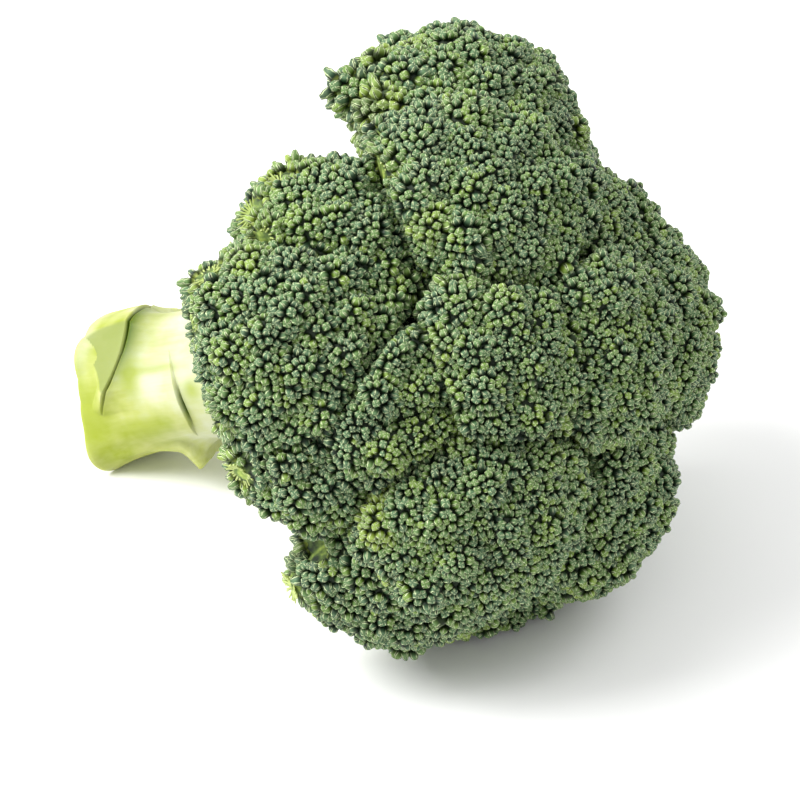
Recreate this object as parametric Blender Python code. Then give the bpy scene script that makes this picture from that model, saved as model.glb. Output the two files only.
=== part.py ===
"""Broccoli head lying on its side: one pale stalk with its branches, and the bud crowns that they carry.

Lengths are in millimetres until mesh_object() turns them into metres. The stalk's axis runs from its cut end,
near -X and low, up to the middle of the crown. A crown is a dome round the tip of its branch. Where two crowns
press on each other, each stops at the flat surface that lies between their spheres.
"""

import math

import bmesh
import bpy
import numpy as np

METRES = 0.001

# How the head lies
STALK_PITCH = math.radians(27.5)
FORK = np.array([-20.2, -1.9, 45.2])
AXIS = np.array([math.cos(STALK_PITCH), 0.0, math.sin(STALK_PITCH)])
UP = np.array([-math.sin(STALK_PITCH), 0.0, math.cos(STALK_PITCH)])
SIDE = np.array([0.0, -1.0, 0.0])
DOWN = np.array([0.0, 0.0, -1.0])

# The stalk, measured along its axis from the fork
STALK_END = -66.0
STALK_TOP = 16.0
STALK_RADIUS = 18.0
STALK_WAIST = 1.0
WAIST_PLACE = -30.0
WAIST_REACH = 30.0
TOP_CLOSING = 0.45
STALK_SIDES = 28
STALK_RINGS = 20
CUT_BEVEL = 1.2
STUB_RISE = 2.5
STUB_ROOM = 4.0

# Stubs of the cut leaves: angle round the stalk, place of the axil, half of the width as an angle, length towards
# the cut end, height, how far the axil's ends droop towards the cut end. Angles are in degrees
LEAF_STUBS = (
    (38, -44, 44, 19, 4.6, 9),
    (88, -33, 52, 26, 3.2, 7),
    (156, -37, 34, 16, 4.4, 5),
    (168, -53, 40, 12, 5.0, 3),
    (238, -30, 46, 24, 3.6, 7),
    (292, -46, 46, 18, 4.4, 6),
    (336, -25, 40, 22, 3.2, 6),
)

# The crowns: angle round the stalk from its upper side, tilt away from the stalk, reach from the fork to the
# crown's top, half of its width, height of its dome. Angles are in degrees
CROWNS = {
    "crown_middle": (180, 3, 114, 29, 22),
    "crown_inner_near": (84, 16, 112, 28, 21),
    "crown_inner_side": (84, 33, 105, 27, 21),
    "crown_inner_top": (3, 21, 110, 33, 26),
    "crown_inner_far_top": (-55, 18, 109, 30, 24),
    "crown_inner_far": (-114, 24, 111, 31, 25),
    "crown_inner_under": (187, 33, 107, 32, 26),
    "crown_inner_low": (124, 31, 111, 33, 26),
    "crown_outer_top": (-35, 45, 101, 35, 28),
    "crown_outer_near_top": (38, 38, 101, 32, 26),
    "crown_outer_near": (66, 43, 104, 33, 25),
    "crown_outer_near_low": (88, 44, 98, 29, 23),
    "crown_outer_low": (138, 47, 99, 40, 29),
    "crown_outer_under": (178, 56, 92, 30, 25),
    "crown_outer_far_low": (218, 50, 98, 31, 26),
    "crown_outer_far": (262, 48, 100, 32, 27),
    "crown_outer_far_top": (300, 50, 98, 32, 26),
}
UNDERSIDE_SHARE = 0.38
GAP = 0.3
CREASE_SHARPNESS = 7.0
FLOOR_PRESS = 1.4
LEAST_SLANT = 0.01
FAR = 1000.0

# Clusters of buds on a crown
CLUSTER_SPACING = 10.4
CLUSTER_HEIGHT = 2.6
CLUSTER_SHOULDER = 0.5
RIM_ANGLE = math.radians(110)
CLUSTER_JITTER = 0.12

# Branches, and the twigs that each splits into under its crown
TWIGS_PER_BRANCH = 3
TWIG_ANGLE = math.radians(140)
TWIG_ANGLE_STEP = 0.1
PAD_DEPTH = 0.9
PAD_MARGIN = 1.0
TWIG_SHARE = 0.46
TWIG_DROP = 24.0
ROOT_SPACING = 38.0
BRANCH_SAG = 3.0
BRANCH_TIP = 5.0
BRANCH_RADIUS = 7.0
BRANCH_TAPER = (1.15, 1.0, 1.0, 0.8)
TWIG_TAPER = (1.25, 1.0, 1.0)
TWIG_BOW = 0.12
TWIG_START = 2.0
TYPICAL_SPREAD = 30.0
BRANCH_SIDES = 8
TWIG_SIDES = 5

GOLDEN_ANGLE = math.pi * (3 - math.sqrt(5))


def clear_scene():
    for obj in list(bpy.data.objects):
        bpy.data.objects.remove(obj)


def unit(vector):
    return vector / np.linalg.norm(vector)


class Crown:
    """A crown's place and size, and the distance from its middle to its surface in any direction."""

    def __init__(self, name, around, tilt, reach, spread, height):
        around, tilt = math.radians(around), math.radians(tilt)
        self.name = name
        sideways = UP * math.cos(around) + SIDE * math.sin(around)
        self.out = AXIS * math.cos(tilt) + sideways * math.sin(tilt)
        self.right = unit(np.cross(self.out, AXIS + 0.3 * UP))
        self.ahead = np.cross(self.right, self.out)
        self.spread, self.height = spread, height
        self.middle = FORK + self.out * (reach - height)
        self.branch_radius = BRANCH_RADIUS * spread / TYPICAL_SPREAD
        self.twig_radius = self.branch_radius * TWIG_SHARE
        self.walls = []
        self.pads = []

    def world(self, local):
        return local[:, :1] * self.right + local[:, 1:2] * self.ahead + local[:, 2:] * self.out

    def dome(self, local):
        """Distance to the bare dome, an ellipsoid that is flatter below."""
        below = self.height * UNDERSIDE_SHARE
        height = np.where(local[:, 2] > 0, self.height - CLUSTER_HEIGHT, below)
        spread = self.spread - CLUSTER_HEIGHT
        return 1 / np.sqrt((local[:, 2] / height) ** 2 + (1 - local[:, 2] ** 2) / spread**2)

    def surface(self, local, bump):
        """The crown's points: the dome, creased where it nears a wall, pressed flat on the floor and at its pads."""
        directions = self.world(local)
        walls = np.array([plane_distance(directions, *wall) for wall in self.walls])
        pressed = plane_distance(directions, DOWN, self.middle[2] + FLOOR_PRESS)
        soft = self.dome(local) ** -CREASE_SHARPNESS + (walls**-CREASE_SHARPNESS).sum(0)
        soft += pressed**-CREASE_SHARPNESS
        radius = np.minimum(soft ** (-1 / CREASE_SHARPNESS) + bump, walls.min(0))
        radius = np.minimum(radius, plane_distance(directions, DOWN, self.middle[2]))
        for pad_direction, pad_distance, _ in self.pads:
            radius = np.minimum(radius, plane_distance(local, pad_direction, pad_distance))
        return self.middle + directions * radius[:, None]


def plane_distance(directions, normal, distance):
    """How far each direction runs before it meets the plane."""
    along = directions @ normal
    return np.where(along > LEAST_SLANT, distance / np.maximum(along, LEAST_SLANT), FAR)


def grow_crowns():
    crowns = [Crown(name, *numbers) for name, numbers in CROWNS.items()]
    for crown in crowns:
        for other in crowns:
            if other is crown:
                continue
            between = other.middle - crown.middle
            apart = np.linalg.norm(between)
            share = (apart**2 + crown.spread**2 - other.spread**2) / (2 * apart)
            crown.walls.append((between / apart, share - GAP / 2))
            crown.walls.append(branch_wall(crown, other))
        crown.walls.append(stalk_wall(crown))
        crown.pads = twig_pads(crown)
    return crowns


def branch_line(crown):
    """Points along a branch, from inside the stalk to just below the crown."""
    tip = crown.middle - crown.out * TWIG_DROP
    lean = 1 - crown.out @ AXIS
    root = FORK - AXIS * lean * ROOT_SPACING
    bend = (root + tip) / 2 + AXIS * lean * BRANCH_SAG
    return [root, bend, tip, tip + crown.out * BRANCH_TIP]


def branch_wall(crown, other):
    """The flat surface that keeps a crown off another crown's branch."""
    nearest = None
    line = branch_line(other)
    for start, end in zip(line, line[1:]):
        share = np.clip((crown.middle - start) @ (end - start) / ((end - start) @ (end - start)), 0, 1)
        towards = start + (end - start) * share - crown.middle
        if nearest is None or np.linalg.norm(towards) < np.linalg.norm(nearest):
            nearest = towards
    apart = np.linalg.norm(nearest)
    return nearest / apart, apart - other.branch_radius * max(BRANCH_TAPER) - GAP


def stalk_wall(crown):
    """The flat surface that keeps a crown off the stalk."""
    along = float(np.clip((crown.middle - FORK) @ AXIS, STALK_END, 0.0))
    towards = FORK + AXIS * along - crown.middle
    apart = np.linalg.norm(towards)
    return towards / apart, apart - STALK_RADIUS - STUB_ROOM


def twig_pads(crown):
    """Flat places on the underside, one for each twig: direction, distance, radius. A crown that its neighbours
    press narrow takes its twigs closer together."""
    pads = []
    for index in range(TWIGS_PER_BRANCH):
        turn = 2 * math.pi * index / TWIGS_PER_BRANCH
        for angle in np.arange(TWIG_ANGLE, math.pi, TWIG_ANGLE_STEP):
            direction = spherical(angle, turn)
            distance = PAD_DEPTH * float(crown.dome(direction[None])[0])
            place = crown.world(direction[None])[0] * distance
            if all(place @ normal + crown.twig_radius + PAD_MARGIN < room for normal, room in crown.walls):
                break
        pads.append((direction, distance, crown.twig_radius + PAD_MARGIN))
    return pads


def spherical(angle, turn):
    return np.array([math.sin(angle) * math.cos(turn), math.sin(angle) * math.sin(turn), math.cos(angle)])


def cluster_directions(crown, seed):
    """Directions of the bud clusters, on a golden-angle spiral from the crown's top to its rim."""
    draw = np.random.default_rng(seed)
    typical = (2 * crown.spread + crown.height) / 3
    whole = 4 * math.pi * typical**2 / (0.866 * CLUSTER_SPACING**2)
    count = int(whole * (1 - math.cos(RIM_ANGLE)) / 2)
    found = []
    for index in range(count):
        angle = math.acos(1 - 2 * (index + 0.5) / whole)
        direction = spherical(angle, index * GOLDEN_ANGLE)
        direction = unit(direction + draw.normal(0, CLUSTER_JITTER * CLUSTER_SPACING / typical, 3))
        found.append(direction)
    return np.array(found)


def underside_directions(crown):
    """Directions of the plain points under the rim: a middle, a ring round each pad, and the pads' middles."""
    found = [spherical(math.pi, 0.0)]
    for direction, distance, radius in crown.pads:
        found.append(direction)
        side = unit(np.cross(direction, (0.0, 0.0, 1.0)))
        other = np.cross(direction, side)
        for corner in range(TWIG_SIDES):
            turn = 2 * math.pi * corner / TWIG_SIDES
            found.append(unit(direction * distance + radius * (side * math.cos(turn) + other * math.sin(turn))))
    return np.array(found)


def sphere_triangles(directions):
    """Delaunay triangles of points on a sphere: the faces of their convex hull."""
    bm = bmesh.new()
    for index, direction in enumerate(directions):
        bm.verts.new(direction).index = index
    bm.verts.ensure_lookup_table()
    bmesh.ops.convex_hull(bm, input=bm.verts)
    bm.verts.index_update()
    bmesh.ops.triangulate(bm, faces=bm.faces)
    found = []
    for face in bm.faces:
        a, b, c = (vert.index for vert in face.verts)
        outward = np.dot(np.cross(directions[b] - directions[a], directions[c] - directions[a]), directions[a])
        found.append((a, b, c) if outward > 0 else (a, c, b))
    bm.free()
    return found


def crown_mesh(crown, seed):
    """Points and faces: each bud cluster is a bump with a small three-cornered top, and a valley runs round it."""
    clusters = cluster_directions(crown, seed)
    centres = np.vstack([clusters, underside_directions(crown)])
    triangles = sphere_triangles(centres)
    directions, bumps = [*centres], [0.0] * len(centres)
    faces = [t for t in triangles if min(t) >= len(clusters)]
    fans = {}
    for a, b, c in triangles:
        if min(a, b, c) >= len(clusters):
            continue
        valley = len(directions)
        directions.append(unit(centres[a] + centres[b] + centres[c]))
        bumps.append(0.0)
        for here, following, before in ((a, b, c), (b, c, a), (c, a, b)):
            fans.setdefault(here, {})[following] = (before, valley)
            if min(here, following) >= len(clusters):
                faces.append((here, following, valley))
    for here, fan in fans.items():
        if here >= len(clusters):
            for _, (before, valley) in fan.items():
                if before in fan:
                    faces.append((here, valley, fan[before][1]))
            continue
        step = start = next(iter(fan))
        ring = []
        while not ring or step != start:
            step, valley = fan[step]
            ring.append(valley)
        top = []
        for corner in range(3):
            toward = round(corner * len(ring) / 3)
            top.append((toward, len(directions)))
            blend = centres[here] * (1 - CLUSTER_SHOULDER) + directions[ring[toward]] * CLUSTER_SHOULDER
            directions.append(unit(blend))
            bumps.append(CLUSTER_HEIGHT)
        faces.append(tuple(point for _, point in top))
        for corner in range(3):
            first, this = top[corner]
            last, following = top[(corner + 1) % 3]
            last += len(ring) if corner == 2 else 0
            turning = (first + last) // 2
            for k in range(first, last):
                faces.append((this if k < turning else following, ring[k % len(ring)], ring[(k + 1) % len(ring)]))
            faces.append((this, ring[turning % len(ring)], following))
    used = sorted({point for face in faces for point in face})
    number = {point: k for k, point in enumerate(used)}
    points = crown.surface(np.array(directions)[used], np.array(bumps)[used])
    return points, [tuple(number[point] for point in face) for face in faces]


def stub_height(along, around):
    """How far the stubs stand out of the stalk there: sharp at the axil, fading towards the cut end."""
    total = np.zeros_like(along)
    for centre, axil, half_width, length, height, droop in LEAF_STUBS:
        turn = (np.degrees(around) - centre + 180) % 360 - 180
        across = np.clip(np.abs(turn) / half_width, 0, 1)
        back = (axil - droop * across**2 - along) / length
        rise = np.clip(back * length / STUB_RISE, 0, 1)
        fade = np.clip(1 - back, 0, 1) ** 0.8
        total = np.maximum(total, height * (1 - across**2) ** 0.7 * rise * fade * (back > 0))
    return total


def stalk_radius(along, around):
    waist = np.cos(np.clip((along - WAIST_PLACE) / WAIST_REACH, -1, 1) * math.pi / 2)
    closing = np.clip(along / STALK_TOP, 0, 1)
    body = (STALK_RADIUS - STALK_WAIST * waist) * (1 - TOP_CLOSING * closing**2)
    return body + stub_height(along, around)


def stalk_points():
    """Rings along the stalk, closed by a flat fan at each end."""
    points = []
    places = np.linspace(STALK_END, STALK_TOP, STALK_RINGS)
    places = np.insert(places, 1, STALK_END + CUT_BEVEL)
    turns = np.arange(STALK_SIDES) * 2 * math.pi / STALK_SIDES
    spokes = np.outer(np.cos(turns), UP) + np.outer(np.sin(turns), SIDE)
    for number, place in enumerate(places):
        radius = stalk_radius(np.full(STALK_SIDES, place), turns) - CUT_BEVEL * (number == 0)
        ring = FORK + AXIS * place + spokes * radius[:, None]
        ring[:, 2] = np.maximum(ring[:, 2], 0.0)
        points.extend(ring)
    return points, tube_faces(len(places), STALK_SIDES, points)


def tube_faces(rings, sides, points):
    """Faces of a closed tube. Its end middles are added to points."""
    faces = []
    for ring in range(rings - 1):
        for side in range(sides):
            here, beside = ring * sides + side, ring * sides + (side + 1) % sides
            faces.append((here, beside, beside + sides, here + sides))
    for ring in (0, rings - 1):
        rim = list(range(ring * sides, (ring + 1) * sides))
        points.append(np.mean([points[k] for k in rim], axis=0))
        faces.extend((len(points) - 1, rim[k], rim[(k + 1) % sides]) for k in range(sides))
    return faces


def tube(name, line, radii, sides, last_facing, finish):
    """A tapered tube along a line of points. Its last ring faces last_facing."""
    points = []
    for number, (point, radius) in enumerate(zip(line, radii)):
        before, after = line[max(number - 1, 0)], line[min(number + 1, len(line) - 1)]
        facing = last_facing if number == len(line) - 1 else unit(after - before)
        side = unit(np.cross(facing, SIDE + 0.1 * UP))
        other = np.cross(facing, side)
        for step in range(sides):
            turn = 2 * math.pi * step / sides
            points.append(point + radius * (side * math.cos(turn) + other * math.sin(turn)))
    return mesh_object(name, points, tube_faces(len(line), sides, points), finish)


def branch_tubes(crown, finish):
    """The branch from the stalk to just below its crown, and the twigs from there to the crown's underside."""
    line = branch_line(crown)
    radii = [crown.branch_radius * share for share in BRANCH_TAPER]
    made = [tube("branch", line, radii, BRANCH_SIDES, crown.out, finish)]
    for direction, distance, _ in crown.pads:
        facing = -crown.world(direction[None])[0]
        end = crown.middle - facing * (distance + GAP)
        start = line[2] - crown.out * TWIG_START
        spread = end - start - crown.out * ((end - start) @ crown.out)
        middle = (start + end) / 2 + spread * TWIG_BOW
        radii = [crown.twig_radius * share for share in TWIG_TAPER]
        made.append(tube("twig", [start, middle, end], radii, TWIG_SIDES, facing, finish))
    return made


def grow_stalk(crowns, finish):
    """The stalk with every branch and twig joined to it."""
    points, faces = stalk_points()
    stalk = mesh_object("stalk", points, faces, finish)
    branches = bpy.data.collections.new("branches")
    bpy.context.scene.collection.children.link(branches)
    for crown in crowns:
        for obj in branch_tubes(crown, finish):
            bpy.context.scene.collection.objects.unlink(obj)
            branches.objects.link(obj)
    join = stalk.modifiers.new("join branches", "BOOLEAN")
    join.operation = "UNION"
    join.operand_type = "COLLECTION"
    join.collection = branches
    join.solver = "EXACT"
    graph = bpy.context.evaluated_depsgraph_get()
    joined = bpy.data.meshes.new_from_object(stalk.evaluated_get(graph))
    stalk.modifiers.clear()
    stalk.data = joined
    for obj in list(branches.objects):
        bpy.data.objects.remove(obj)
    bpy.data.collections.remove(branches)
    return stalk


def material(name, colour, roughness):
    made = bpy.data.materials.new(name)
    made.use_nodes = True
    shader = made.node_tree.nodes["Principled BSDF"]
    shader.inputs["Base Color"].default_value = (*colour, 1)
    shader.inputs["Roughness"].default_value = roughness
    shader.inputs["Metallic"].default_value = 0.0
    return made


def mesh_object(name, points, faces, finish):
    mesh = bpy.data.meshes.new(name)
    mesh.from_pydata([tuple(p * METRES) for p in points], [], faces)
    mesh.materials.append(finish)
    bm = bmesh.new()
    bm.from_mesh(mesh)
    bmesh.ops.recalc_face_normals(bm, faces=bm.faces)
    bm.to_mesh(mesh)
    bm.free()
    obj = bpy.data.objects.new(name, mesh)
    bpy.context.scene.collection.objects.link(obj)
    return obj


def build():
    clear_scene()
    bud_green = material("bud_green", (0.09, 0.19, 0.06), 0.6)
    stalk_green = material("stalk_green", (0.58, 0.72, 0.26), 0.45)
    crowns = grow_crowns()
    grow_stalk(crowns, stalk_green)
    for seed, crown in enumerate(crowns):
        points, faces = crown_mesh(crown, seed)
        mesh_object(crown.name, points, faces, bud_green)


build()
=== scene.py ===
"""Broccoli head lying on its side: the looks.

The head's plan repeats the CAD source: a stalk whose axis runs from its cut end up to the middle of the head,
and domed crowns round the fork, each bounded by flat surfaces where it presses on a neighbour. Lengths are in
millimetres until a mesh is made.
"""
import math

import bpy
import numpy as np
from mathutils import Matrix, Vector
from mathutils.kdtree import KDTree


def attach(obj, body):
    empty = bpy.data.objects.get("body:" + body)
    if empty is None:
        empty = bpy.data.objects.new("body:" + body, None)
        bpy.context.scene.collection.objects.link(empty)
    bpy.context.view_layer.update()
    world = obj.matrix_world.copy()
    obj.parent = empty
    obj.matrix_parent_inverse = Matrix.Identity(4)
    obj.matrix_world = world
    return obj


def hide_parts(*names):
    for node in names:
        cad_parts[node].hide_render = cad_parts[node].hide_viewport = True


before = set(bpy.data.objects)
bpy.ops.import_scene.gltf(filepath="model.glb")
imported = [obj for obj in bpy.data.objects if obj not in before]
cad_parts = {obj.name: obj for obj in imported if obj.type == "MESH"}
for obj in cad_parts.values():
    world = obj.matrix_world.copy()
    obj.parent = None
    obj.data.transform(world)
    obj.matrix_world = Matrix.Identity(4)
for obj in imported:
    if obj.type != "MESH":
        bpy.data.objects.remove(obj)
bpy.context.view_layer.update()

METRES = 0.001
GOLDEN_ANGLE = math.pi * (3 - math.sqrt(5))
HEX_PACKING = 0.866
CROWN_SEED, TWIG_SEED = 100, 500

# How the head lies
STALK_PITCH = math.radians(27.5)
FORK = np.array([-20.2, -1.9, 45.2])
AXIS = np.array([math.cos(STALK_PITCH), 0.0, math.sin(STALK_PITCH)])
UP = np.array([-math.sin(STALK_PITCH), 0.0, math.cos(STALK_PITCH)])
SIDE = np.array([0.0, -1.0, 0.0])
DOWN = np.array([0.0, 0.0, -1.0])

# The lowest that each kind of piece comes to the surface the head lies on
BED_LOWEST = 0.3
BUD_LOWEST = 0.35
STALK_LOWEST = 0.02

# The crowns: angle round the stalk from its upper side, tilt away from the stalk, reach from the fork to the
# crown's top, half of its width, height of its dome. Angles are in degrees
CROWNS = {
    "crown_middle": (180, 3, 114, 29, 22),
    "crown_inner_near": (84, 16, 112, 28, 21),
    "crown_inner_side": (84, 33, 105, 27, 21),
    "crown_inner_top": (3, 21, 110, 33, 26),
    "crown_inner_far_top": (-56, 18, 104.5, 28.6, 23),
    "crown_inner_far": (-117, 24, 111.5, 30.4, 25),
    "crown_inner_under": (187, 33, 107, 32, 26),
    "crown_inner_low": (124, 31, 111, 33, 26),
    "crown_outer_top": (-40.5, 44, 102, 36.5, 28),
    "crown_outer_near_top": (41, 38.3, 96.5, 30.5, 25),
    "crown_outer_near": (64, 44.5, 103, 32, 25),
    "crown_outer_near_low": (89, 43, 97, 27, 22),
    "crown_outer_low": (135, 42.8, 97, 34.5, 27),
    "crown_outer_under": (178, 56, 92, 30, 25),
    "crown_outer_far_low": (215, 50, 98, 31, 26),
    "crown_outer_far": (262, 48, 100, 32, 27),
    "crown_outer_far_top": (300, 50, 98, 32, 26),
}

# Where a crown's side is cut back: its outward direction along the axis, up and to the side, and its distance
TRIMS = {"crown_outer_near": ((-0.727, 0.153, 0.671), 25.2)}

# Places where a crown swells beyond its dome, or falls short of it: angle from its top, turn round it, half
# width in degrees, and height
SWELLINGS = {
    "crown_inner_top": ((52, -105, 13, -2.0), (31, -60, 13, -2.4), (29, -10, 13, -2.4), (54, 10, 12, -1.6)),
    "crown_inner_far_top": ((47, -136, 14, -0.8),),
    "crown_inner_far": ((48, 174, 15, 1.0), (42, -58, 18, -1.8), (24, -140, 12, -1.2)),
    "crown_inner_under": ((45, 165, 14, -1.8), (32, -135, 14, 1.2)),
    "crown_outer_top": ((103, 176, 20, 5.4), (80, -153, 19, -4.4), (64, -126, 12, -1.4), (27, -66, 20, 3.0),
                        (53, 12, 15, -2.2), (64, -3, 12, -1.6)),
    "crown_outer_near_top": ((82, -29, 13, 1.6), (88, -50, 11, -1.6)),
    "crown_outer_near": ((90, -42, 18, 2.6), (84, -20, 12, -1.6)),
    "crown_outer_near_low": ((78, -61, 16, 1.2), (86, -98, 13, -3.4)),
    "crown_outer_low": ((76, -76, 15, -2.4), (91, -38, 17, 3.6), (97, -14, 12, -2.2)),
    "crown_outer_far": ((31, 148, 14, 1.2),),
    "crown_outer_far_top": ((14, 0, 18, -2.2), (33, 21, 13, -2.4), (25, 176, 12, -2.0), (36, 54, 10, -1.2)),
}

# A crown's dome and its flat sides. An inner crown fills out more, and its buds stand closer
INNER_TILT = math.radians(35)
DOME_FILL = 2.0
DOME_INSET, WALL_INSET, FLOOR_INSET = 4.3, 0.9, 2.0
UNDERSIDE_SHARE = 0.38
CREASE_SHARPNESS = 8.0
DEEPEST_CREASE = 0.66
RIGHT_LEAN = 0.3
LEAST_SLANT, FAR = 0.01, 1000.0
LEAST_LENGTH, TINY = 1e-4, 1e-6

# Mounds of buds on a crown, and tufts on the mounds: spacing, height, and how much the heights vary
MOUND_SPACING, MOUND_HEIGHT, MOUND_RANGE = 12.0, 3.8, (0.5, 1.3)
TUFT_SPACING, TUFT_HEIGHT, TUFT_RANGE = 5.0, 1.1, (0.0, 1.4)
MOUND_JITTER, MOUND_RADIUS, MOUND_REACH = 0.16, 0.62, 1.3
LAST_MOUND_ANGLE = math.radians(125)
NORMAL_STEP, NEAR_POLE = 0.012, 0.9

# The ground under the buds: its grid, how far it stops short of its two poles, how deep it lies, where its
# mounds fade out below, and how strongly it counts as rim round the heart of a fan
BED_RINGS, BED_SIDES = 52, 84
BED_START, BED_END = 0.03, 0.05
BED_SUNK = 0.75
BED_FADE_START, BED_FADE = math.radians(100), math.radians(30)
BED_FAN_RIM = 1.05

# Buds: how far apart they stand, and how they are evened out
BUD_SPACING, INNER_SPACING, OUTER_SPACING = 2.15, 0.96, 1.08
BUD_JITTER = 0.2
LAST_BUD_ANGLE = math.radians(112)
EVENING_ROUNDS, EVENING_STEP, EVENING_REACH, EVENING_PULL = 7, 0.42, 1.1, 0.05
NEIGHBOURS, CLOSEST = 7, 5

# Their sizes: smaller in the middle of a mound, larger at its edge and at the crown's rim
MIDDLE_SIZE, EDGE_SIZE, SIZE_SPREAD = 0.84, 1.08, 0.09
BIG_BUD_SHARE, BIG_BUD_SIZE = 0.03, 1.24
RIM_START, RIM_GROWTH = math.radians(63), 0.12
BUD_FULLNESS = 1.08
BUD_WIDTHS, SMALL_BUD_WIDTH = (1.4, 3.6), 1.8
FLATNESS, TALLNESS = 0.07, (0.92, 1.18)
SINK, SINK_MIDDLE, SINK_SPREAD = 0.42, 0.1, 0.14

# Which way they face, and their kinds, counted as in bud_shapes. A stalked one reaches down its pedicel
BUD_LEAN, FACING_SPREAD = 0.3, 0.16
SMALL, FULL, STALKED = 0, 1, 2
STALKED_RANGE, PEDICEL, BUD_TALL = (0.2, 0.9), -1.5, 1.3

# Their tone: 0 is dark blue-green, 1 is yellow-green. Some mounds towards the rim turn lime
MIDDLE_TONE, MOUND_TONE, TONE_SPREAD = 0.5, 0.09, 0.21
DARK_RIM, DARK_TONE = 0.35, 0.1
LIME_START, LIME_FULL, LIME_MOUNDS, LIME_TONE = math.radians(46), math.radians(80), 0.35, 0.25

# What is stored on each bud's point, and as what kind of attribute
BUD_MARKS = {"facing": "FLOAT_VECTOR", "size": "FLOAT_VECTOR", "spin": "FLOAT", "tone": "FLOAT",
             "lime": "FLOAT", "kind": "INT"}

# Open fans, where the buds part and show their stems: angle from the crown's top and turn round it
OPEN_FANS = {
    "crown_outer_near_top": ((71, -24), (72, -50), (60, -68)),
    "crown_outer_near": ((81, -25), (84, -50), (77, -99)),
    "crown_outer_near_low": ((74, -61),),
    "crown_outer_low": ((88, -36), (82, -12)),
    "crown_outer_top": ((104, 174),),
}
FANS_PER_CROWN, FAN_ANGLES = 2, (80, 100)
FAN_REACH, FAN_HEART, FAN_FULL = 5.8, 2.1, 2.0
FAN_LEAN, FAN_STALKED, FAN_SHIFT = 1.7, 0.2, 0.5
FAN_LIME = (-0.35, 1.4)
FAN_SHOWN = 0.8
FAN_STEMS, FAN_STEM_JITTER, FAN_STEM_POINTS = 22, 0.3, 5
FAN_DEPTH, FAN_STEM_START, FAN_STEM_BEND = 1.7, 0.3, 0.12
FAN_STEM_REACH, FAN_STEM_DROP = (2.4, 4.8), (0.3, 0.9)
FAN_STEM_RADIUS, FAN_STEM_RANGE = 0.25, (0.8, 1.2)
FAN_STEM_TAPER = np.array([1.3, 1.1, 1, 0.9, 0.9])

# The stalk, measured along its axis from the fork
STALK_END = -66.0
STALK_TOP = 16.0
STALK_RADIUS = 18.0


# Geometry

def unit(vector):
    vector = np.asarray(vector, float)
    return vector / np.linalg.norm(vector, axis=-1, keepdims=True)


def spherical(angle, turn):
    """Unit directions from the angle away from +Z and the turn round it."""
    angle, turn = np.broadcast_arrays(angle, turn)
    return np.stack([np.sin(angle) * np.cos(turn), np.sin(angle) * np.sin(turn), np.cos(angle)], axis=-1)


def plane_distance(directions, normal, distance):
    """How far each direction runs before it meets the plane."""
    along = directions @ normal
    return np.where(along > LEAST_SLANT, distance / np.maximum(along, LEAST_SLANT), FAR)


def rim_share(angle):
    """How far towards the last buds an angle from a crown's top is, from the start of the rim."""
    return np.clip((angle - RIM_START) / (LAST_BUD_ANGLE - RIM_START), 0, 1)


class Crown:
    """A crown's place and size, and its surface in any direction from its middle."""

    def __init__(self, name, around, tilt, reach, spread, height):
        around, tilt = math.radians(around), math.radians(tilt)
        inner = tilt < INNER_TILT
        sideways = UP * math.cos(around) + SIDE * math.sin(around)
        self.name = name
        self.out = AXIS * math.cos(tilt) + sideways * math.sin(tilt)
        self.right = unit(np.cross(self.out, AXIS + RIGHT_LEAN * UP))
        self.ahead = np.cross(self.right, self.out)
        self.spread, self.height = spread, height
        self.typical = (2 * spread + height) / 3
        self.middle = FORK + self.out * (reach - height)
        self.fill = DOME_FILL if inner else 0.0
        self.bud_spacing = BUD_SPACING * (INNER_SPACING if inner else OUTER_SPACING)
        self.walls = []

    def world(self, local):
        return local[:, :1] * self.right + local[:, 1:2] * self.ahead + local[:, 2:] * self.out

    def dome(self, local):
        """Distance to the bare dome, an ellipsoid that is flatter below."""
        below = self.height * UNDERSIDE_SHARE
        height = np.where(local[:, 2] > 0, self.height - DOME_INSET, below)
        spread = self.spread - DOME_INSET + self.fill
        return 1 / np.sqrt((local[:, 2] / height) ** 2 + (1 - local[:, 2] ** 2) / spread**2)

    def swelling(self, local):
        """How far the crown's swellings lift its surface in each direction."""
        lift = np.zeros(len(local))
        for angle, turn, width, height in SWELLINGS.get(self.name, ()):
            middle = spherical(math.radians(angle), math.radians(turn))
            apart = np.arccos(np.clip(local @ middle, -1, 1))
            lift += height * np.exp(-((apart / math.radians(width)) ** 2))
        return lift

    def reach(self, local, bump=0.0):
        """Distance to the crown's surface, raised by bump but never past a wall or the floor."""
        directions = self.world(local)
        walls = np.array([plane_distance(directions, *wall) for wall in self.walls])
        soft = self.dome(local) ** -CREASE_SHARPNESS + (walls**-CREASE_SHARPNESS).sum(0)
        radius = np.minimum(soft ** (-1 / CREASE_SHARPNESS) + bump + self.swelling(local), walls.min(0))
        return np.minimum(radius, plane_distance(directions, DOWN, self.middle[2] - FLOOR_INSET))

    def open_share(self, local):
        """How much of the bare dome's height is left in each direction. It is low in a crease."""
        return self.reach(local) / self.dome(local)

    def surface(self, local, bump=0.0):
        return self.middle + self.world(local) * self.reach(local, bump)[:, None]


def grow_crowns():
    """All crowns, each with flat walls where it meets the others."""
    crowns = [Crown(name, *numbers) for name, numbers in CROWNS.items()]
    for crown in crowns:
        for other in crowns:
            if other is crown:
                continue
            between = other.middle - crown.middle
            apart = np.linalg.norm(between)
            share = (apart**2 + crown.spread**2 - other.spread**2) / (2 * apart)
            crown.walls.append((between / apart, share - WALL_INSET))
        if crown.name in TRIMS:
            (along, up, side), distance = TRIMS[crown.name]
            crown.walls.append((unit(AXIS * along + UP * up + SIDE * side), distance))
    return crowns


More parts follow.
